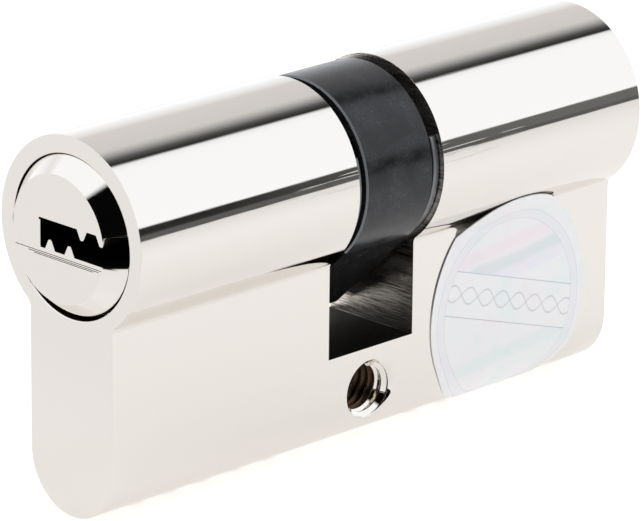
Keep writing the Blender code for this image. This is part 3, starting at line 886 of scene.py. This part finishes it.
def makeSpring(node):
    # closed end turns and an open middle, stretched between the driver pin and the housing
    size = {"wire": 0.15, "radius": 1.1, "turns": 8, "perTurn": 20, "endTurns": 1}
    low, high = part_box(node)
    middle = (low + high) / 2 / mm
    wire = size["wire"]
    bottom = low.z / mm + wire
    top = high.z / mm - wire
    count = size["turns"] * size["perTurn"]
    curve = bpy.data.curves.new(node, "CURVE")
    curve.dimensions = "3D"
    curve.bevel_depth = wire
    curve.bevel_resolution = 2
    curve.use_fill_caps = True
    spline = curve.splines.new("POLY")
    spline.points.add(count)
    closedShare = size["endTurns"] / size["turns"]
    pitch = 2.2 * wire
    for i, point in enumerate(spline.points):
        share = i / count
        turn = math.tau * size["turns"] * share
        if share < closedShare:
            height = bottom + pitch * share / closedShare
        elif share > 1 - closedShare:
            height = top - pitch * (1 - share) / closedShare
        else:
            inner = (share - closedShare) / (1 - 2 * closedShare)
            height = bottom + pitch + (top - bottom - 2 * pitch) * inner
        point.co = (
            middle.x + size["radius"] * math.cos(turn),
            middle.y + size["radius"] * math.sin(turn),
            height,
            1,
        )
    item = bpy.data.objects.new(node, curve)
    bpy.context.scene.collection.objects.link(item)
    bpy.context.view_layer.update()
    seen = item.evaluated_get(bpy.context.evaluated_depsgraph_get())
    work = workFrom(bpy.data.meshes.new_from_object(seen))
    bpy.data.objects.remove(item)
    bmesh.ops.remove_doubles(work, verts=work.verts[:], dist=0.0005)
    pressed = node.replace("pin_spring", "driver_pin")
    ends = ((low.x, low.y, high.z), (low.x, low.y, low.z))
    bodies = (pressed, "housing")
    pieceFrom(node + "_coil", meshOf(work), [springSteel], bodies, node, angle=60, ends=ends)


def makeCirclip(side):
    # an open ring of spring steel with rolled edges, lying against the slot's wall
    clip = {"outer": 8.0, "opening": 136, "rolled": 0.12}
    inner = plugSize["spigotRadius"] - plugSize["groove"] + gap
    start, end = 90 + clip["opening"] / 2, 450 - clip["opening"] / 2
    middle = (0, axisHeight)
    outline = arcPoints(middle, clip["outer"], start, end, 120)
    outline += arcPoints(middle, inner, end, start, 120)
    outer = profile["slotHalf"] - gap
    near = outer - plugSize["clipThickness"]
    body = slab(outline, -outer, -near) if side == "left" else slab(outline, near, outer)
    mesh = shapeWith("circlip", body, edge=clip["rolled"], segments=3)
    pieceFrom("circlip_" + side + "_ring", mesh, [clipSteel], "plug_" + side, "circlip_" + side)


def finishPlainNodes():
    # hidden pieces that keep their CAD shape
    for name, node in frame["nodes"].items():
        if "guard" in name or "coupler" in name or "clutch" in name:
            node.data.materials.clear()
            node.data.materials.append(hardSteel)


label = {
    "radius": 9.75,
    "stretch": 1.14,
    "thickness": 0.1,
    "clear": 0.03,
    "middle": 17.1,
    "rise": 3.6,
    "row": 0.25,
    "lifts": 11.6,
    "tilt": 33,
}


def makeLabelFoil():
    # hologram film: milky polyester with a faint rim, a band set askew, and bars of pink, teal and lavender
    look = {
        "line": "#b9bec6",
        "wave": "#c3c6cf",
        "glint": "#e2f1ee",
        "edge": "#ecebf2",
        "bars": ((6.4, 0.5, "#f8e9ef"), (5.7, 0.4, "#f6f0f3"), (4.7, 0.55, "#dbe1e4"), (3.6, 0.5, "#f1edf7")),
        "clouds": ((0.36, "#f0f5f4"), (0.46, "#f5f6f6"), (0.55, "#f6f6f6"), (0.66, "#f6f3f5")),
        "metallic": 0.55,
        "roughness": 0.3,
        "askew": -17.1,
        "barTurn": 96,
        "rim": 9.0,
        "inner": 8.15,
        "width": 0.05,
        "bandTop": 2.7,
        "bandFoot": -1.34,
        "waveRise": 0.75,
        "waveRate": 1.45,
    }
    material, tree, shader, place = newMaterial("hologramFilm")

    def compute(operation, *ends):
        values = {i: end for i, end in enumerate(ends) if isinstance(end, (int, float))}
        links = {i: end for i, end in enumerate(ends) if i not in values}
        return addNode(tree, "Math", {"operation": operation} | values, links).outputs[0]

    def along(angle):
        # distance in millimetres from the label's middle, in its own plane
        way = (math.cos(angle) / mm, 0, math.sin(angle) / mm)
        offset = way[0] * label["middle"] * mm + way[2] * label["rise"] * mm
        dot = addNode(tree, "VectorMath", {"operation": "DOT_PRODUCT", 1: way}, {0: place})
        return compute("SUBTRACT", dot.outputs["Value"], offset)

    def line(distance, where, width):
        # one where the distance is within the width of a place, falling off at its edges
        away = compute("ABSOLUTE", compute("SUBTRACT", distance, where))
        limits = {"From Min": width, "From Max": width * 0.5}
        return addNode(tree, "MapRange", limits, {"Value": away}).outputs[0]

    def layered(color, layer, mask, strength):
        factor = compute("MULTIPLY", mask, strength)
        settings = {"data_type": "RGBA", 7: linearColor(layer)}
        return addNode(tree, "Mix", settings, {0: factor, 6: color}).outputs[2]

    turn = math.radians(look["askew"])
    u, v = along(turn), along(turn + math.pi / 2)
    middle = (look["bandTop"] + look["bandFoot"]) / 2
    radius = compute("SQRT", compute("ADD", compute("MULTIPLY", u, u), compute("MULTIPLY", v, v)))
    inside = compute("LESS_THAN", radius, look["inner"])
    above = compute("MULTIPLY", inside, compute("GREATER_THAN", v, look["bandTop"] + 0.05))
    below = compute("MULTIPLY", inside, compute("LESS_THAN", v, look["bandFoot"] - 0.06))
    offMiddle = compute("ABSOLUTE", compute("SUBTRACT", v, middle))
    band = compute("MULTIPLY", inside, compute("LESS_THAN", offMiddle, 2.0))
    clouds = addNode(tree, "TexNoise", {"Scale": perMm(3.0), "Detail": 4}, {"Vector": place})
    base = addNode(tree, "ValToRGB", {}, {0: clouds.outputs[0]})
    rampStops(base, [(where, linearColor(tint)) for where, tint in look["clouds"]])
    color = base.outputs[0]
    rise = compute("ADD", along(math.radians(look["barTurn"])), compute("MULTIPLY", clouds.outputs[0], 0.8))
    for where, width, layer in look["bars"]:
        color = layered(color, layer, compute("MULTIPLY", line(rise, where, width * 1.5), above), 0.5)
    color = layered(color, look["glint"], compute("MULTIPLY", line(rise, -3.6, 0.9), below), 0.4)
    color = layered(color, look["edge"], line(radius, 8.6, 0.5), 0.35)
    for where in (look["bandTop"], look["bandFoot"]):
        mask = compute("MULTIPLY", line(v, where, look["width"]), inside)
        color = layered(color, look["line"], mask, 0.8)
    for where in (look["rim"], look["inner"]):
        color = layered(color, look["line"], line(radius, where, look["width"]), 0.3)
    for height in (look["waveRise"], -look["waveRise"]):
        wave = compute("MULTIPLY", compute("SINE", compute("MULTIPLY", u, look["waveRate"])), height)
        mask = compute("MULTIPLY", line(compute("SUBTRACT", v, wave), middle, 0.11), band)
        color = layered(color, look["wave"], mask, 0.55)
    tree.links.new(color, shader.inputs["Base Color"])
    shader.inputs["Roughness"].default_value = look["roughness"]
    shader.inputs["Metallic"].default_value = look["metallic"]
    return material


def labelPoint(rise, depth):
    # a point on the label's path: round the foot, up the flank, then straight across the crease
    half = profile["stemHalf"]
    foot = housingLow.z + half
    if rise < foot:
        turn = (rise - foot) / half
        return -(half + depth) * math.cos(turn), foot + (half + depth) * math.sin(turn)
    if rise <= label["lifts"]:
        return -half - depth, rise
    slope = math.radians(label["tilt"])
    on = rise - label["lifts"]
    return -half - depth - on * math.sin(slope), label["lifts"] + on * math.cos(slope)


def makeLabel():
    # a disc cut into rows, bent along its path and given its thickness
    work = bmesh.new()
    bmesh.ops.create_circle(work, cap_ends=True, segments=160, radius=label["radius"])
    rows = int(label["radius"] / label["row"])
    for axis in ((0, 1, 0), (1, 0, 0)):
        for i in range(-rows, rows + 1):
            if axis[0] and i % 4:
                continue
            bmesh.ops.bisect_plane(
                work,
                geom=work.verts[:] + work.edges[:] + work.faces[:],
                plane_co=[part * i * label["row"] for part in axis],
                plane_no=axis,
            )
    for vert in work.verts:
        up = vert.co.y * (label["stretch"] if vert.co.y > 0 else 1)
        y, z = labelPoint(label["rise"] + up, label["clear"])
        vert.co = (label["middle"] + vert.co.x, y, z)
    bmesh.ops.recalc_face_normals(work, faces=work.faces[:])
    if sum(face.normal.y for face in work.faces) > 0:
        bmesh.ops.reverse_faces(work, faces=work.faces[:])
    bmesh.ops.solidify(work, geom=work.faces[:], thickness=-label["thickness"])
    bmesh.ops.recalc_face_normals(work, faces=work.faces[:])
    pieceFrom("security_label_film", meshOf(work), [makeLabelFoil()], "housing", "security_label", angle=50)


makeHousing()
makeThread()
print("housing made")
makePlug("left")
makePlug("right")
makeCirclip("left")
makeCirclip("right")
makeCam()
print("plugs and cam made")
makeStacks()
finishPlainNodes()
makeLabel()
print("pins and label made")

view = {
    "azimuth": -44.988,
    "elevation": 18.358,
    "roll": 0.576,
    "distance": 429.9,
    "lens": 279.86,
    "aim": (-0.205, 0.931, axisHeight - 9.082),
}


def viewAxes():
    a, e = math.radians(view["azimuth"]), math.radians(view["elevation"])
    back = Vector((math.sin(a) * math.cos(e), -math.cos(a) * math.cos(e), math.sin(e)))
    right = Vector((math.cos(a), math.sin(a), 0))
    up = back.cross(right)
    r = math.radians(view["roll"])
    return right * math.cos(r) + up * math.sin(r), up * math.cos(r) - right * math.sin(r), back


def makeCamera():
    right, up, back = viewAxes()
    data = bpy.data.cameras.new("camera")
    data.lens = view["lens"]
    data.sensor_width = 36
    data.clip_start = 0.01
    data.clip_end = 20
    camera = bpy.data.objects.new("camera", data)
    bpy.context.scene.collection.objects.link(camera)
    turned = Matrix((right, up, back)).transposed().to_4x4()
    aim = Vector(view["aim"]) * mm
    camera.matrix_world = Matrix.Translation(aim + back * view["distance"] * mm) @ turned
    bpy.context.scene.camera = camera


def makeFloor():
    # a backlit white table that mirrors see end in the dark, with an unlit near corner
    light = {
        "glow": 0.6,
        "seen": 0.14,
        "glowColor": "#fffdfa",
        "diffuse": "#c0bfc1",
        "roughness": 0.8,
        "dark": 0.012,
        "drop": 0.00002,
    }
    work = bmesh.new()
    bmesh.ops.create_grid(work, x_segments=8, y_segments=8, size=4)
    bmesh.ops.translate(work, vec=(0, 0, cadBox[0][2] - light["drop"]), verts=work.verts[:])
    floor = bpy.data.objects.new("floor", meshOf(work))
    material, tree, shader, place = newMaterial("paleTable")
    shader.inputs["Base Color"].default_value = linearColor(light["diffuse"])
    shader.inputs["Roughness"].default_value = light["roughness"]
    shader.inputs["Specular IOR Level"].default_value = 0.1
    shader.inputs["Emission Color"].default_value = linearColor(light["glowColor"])
    rays = addNode(tree, "LightPath")
    brighter = {"operation": "MULTIPLY_ADD", 1: light["seen"], 2: light["glow"]}
    glow = addNode(tree, "Math", brighter, {0: rays.outputs["Is Camera Ray"]})
    tree.links.new(glow.outputs[0], shader.inputs["Emission Strength"])

    def measured(way, start, end, height=1.0, bothSides=False):
        # a ramp along a direction, in metres from the row's origin
        dot = addNode(tree, "VectorMath", {"operation": "DOT_PRODUCT", 1: way}, {0: place})
        reach = dot.outputs["Value"]
        if bothSides:
            reach = addNode(tree, "Math", {"operation": "ABSOLUTE"}, {0: reach}).outputs[0]
        limits = {"From Min": start, "From Max": end, "To Max": height}
        return addNode(tree, "MapRange", limits, {"Value": reach}).outputs[0]

    near = measured((-0.6, -0.8, 0), 0.062, 0.08)
    across = measured((-0.8, 0.6, 0), 0.1, 0.05, bothSides=True)
    corner = addNode(tree, "Math", {"operation": "MULTIPLY"}, {0: near, 1: across})
    distance = addNode(tree, "VectorMath", {"operation": "LENGTH"}, {0: place})
    metres = addNode(tree, "MapRange", {"From Max": 0.6}, {"Value": distance.outputs["Value"]})
    far = rampStops(
        addNode(tree, "ValToRGB", {}, {0: metres.outputs[0]}),
        [(0.12, grey(0)), (0.24, grey(0.07)), (0.35, grey(0.12)), (0.72, grey(0.2)), (0.8, grey(0.9))],
    )
    ahead = measured((0, -1, 0), -0.05, 0.05)
    front = addNode(tree, "Math", {"operation": "MULTIPLY"}, {0: far.outputs[0], 1: ahead})
    end = measured((-1, 0, 0), 0.025, 0.06, 0.09)
    dim = addNode(tree, "Math", {"operation": "MAXIMUM"}, {0: front.outputs[0], 1: end})
    dark = addNode(tree, "Math", {"operation": "MAXIMUM"}, {0: dim.outputs[0], 1: corner.outputs[0]})
    glossy = rays.outputs["Is Glossy Ray"]
    share = addNode(tree, "Math", {"operation": "MULTIPLY"}, {0: dark.outputs[0], 1: glossy})
    unlit = addNode(tree, "Emission", {"Strength": light["dark"]})
    mixed = addNode(tree, "MixShader", {}, {0: share.outputs[0], 1: shader.outputs[0], 2: unlit.outputs[0]})
    tree.links.new(mixed.outputs[0], tree.nodes["Material Output"].inputs[0])
    floor.data.materials.append(material)
    bpy.context.scene.collection.objects.link(floor)


def makeStudio():
    # a white tent with two dark gaps along X, at the table's edge and overhead, and one dark side
    white, deep = (1.12, 1.15, 1.21, 1), 0.002
    world = bpy.data.worlds.new("studio")
    bpy.context.scene.world = world
    world.use_nodes = True
    tree = world.node_tree
    tree.nodes.clear()
    output = addNode(tree, "OutputWorld")
    ray = addNode(tree, "TexCoord").outputs["Generated"]
    parts = addNode(tree, "SeparateXYZ", {}, {0: ray})
    front = addNode(tree, "Math", {"operation": "MULTIPLY", 1: -1}, {0: parts.outputs[1]})
    angle = addNode(tree, "Math", {"operation": "ARCTAN2"}, {0: parts.outputs[2], 1: front.outputs[0]})
    full = {"From Min": -math.pi, "From Max": math.pi}
    share = addNode(tree, "MapRange", full, {"Value": angle.outputs[0]})

    def at(degrees):
        # degrees above the table's front edge, over the top and down to the back
        return (degrees + 180) / 360

    bands = rampStops(
        addNode(tree, "ValToRGB", {}, {0: share.outputs[0]}),
        [
            (at(-60), (1.14, 1.17, 1.24, 1)),
            (at(-50), grey(0.16)),
            (at(1), grey(0.13)),
            (at(3), grey(0.03)),
            (at(10), grey(0.02)),
            (at(11.2), (1.13, 1.16, 1.22, 1)),
            (at(79), (1.11, 1.14, 1.2, 1)),
            (at(85.5), (1.02, 1.05, 1.12, 1)),
            (at(88.5), (0.03, 0.03, 0.03, 1)),
            (at(92), (0.05, 0.05, 0.05, 1)),
            (at(96), (0.12, 0.12, 0.12, 1)),
            (at(103), (0.42, 0.42, 0.44, 1)),
            (at(108), (0.63, 0.63, 0.64, 1)),
            (at(112), (0.73, 0.72, 0.73, 1)),
            (at(143), (0.77, 0.75, 0.76, 1)),
            (at(152), (0.93, 0.93, 0.95, 1)),
            (at(163), (1.05, 1.07, 1.12, 1)),
            (at(176), (1.14, 1.17, 1.24, 1)),
        ],
    )
    side = addNode(tree, "MapRange", {"From Min": -0.14, "From Max": -0.03}, {"Value": parts.outputs[0]})
    low = addNode(tree, "MapRange", {"From Min": 0.85, "From Max": 0.77}, {"Value": parts.outputs[2]})
    facing = addNode(tree, "MapRange", {"From Min": -0.1, "From Max": -0.2}, {"Value": parts.outputs[1]})
    shade = addNode(tree, "Math", {"operation": "MULTIPLY"}, {0: low.outputs[0], 1: facing.outputs[0]})
    leftEnd = addNode(tree, "Mix", {"data_type": "RGBA", 6: white, 7: grey(deep)}, {0: shade.outputs[0]})
    # the gap at the table's edge is paler towards +X
    ends = {"From Min": 0.65, "From Max": 0.705, "To Max": 0.16}
    pale = addNode(tree, "MapRange", ends, {"Value": parts.outputs[0]})
    below = addNode(tree, "Math", {"operation": "LESS_THAN", 1: 0.14}, {0: parts.outputs[2]})
    lift = addNode(tree, "Math", {"operation": "MULTIPLY"}, {0: pale.outputs[0], 1: below.outputs[0]})
    lifted = addNode(tree, "VectorMath", {"operation": "MAXIMUM"}, {0: bands.outputs[0], 1: lift.outputs[0]})
    halves = {0: side.outputs[0], 6: leftEnd.outputs[2], 7: lifted.outputs[0]}
    mixed = addNode(tree, "Mix", {"data_type": "RGBA"}, halves)
    # behind the lock the camera sees plain white
    seen = {0: addNode(tree, "LightPath").outputs["Is Camera Ray"], 6: mixed.outputs[2]}
    shown = addNode(tree, "Mix", {"data_type": "RGBA", 7: grey(1.05)}, seen)
    light = addNode(tree, "Background", {}, {0: shown.outputs[2]})
    tree.links.new(light.outputs[0], output.inputs[0])


makeCamera()
makeFloor()
makeStudio()
bpy.context.scene.view_settings.view_transform = "Standard"
print("studio made")
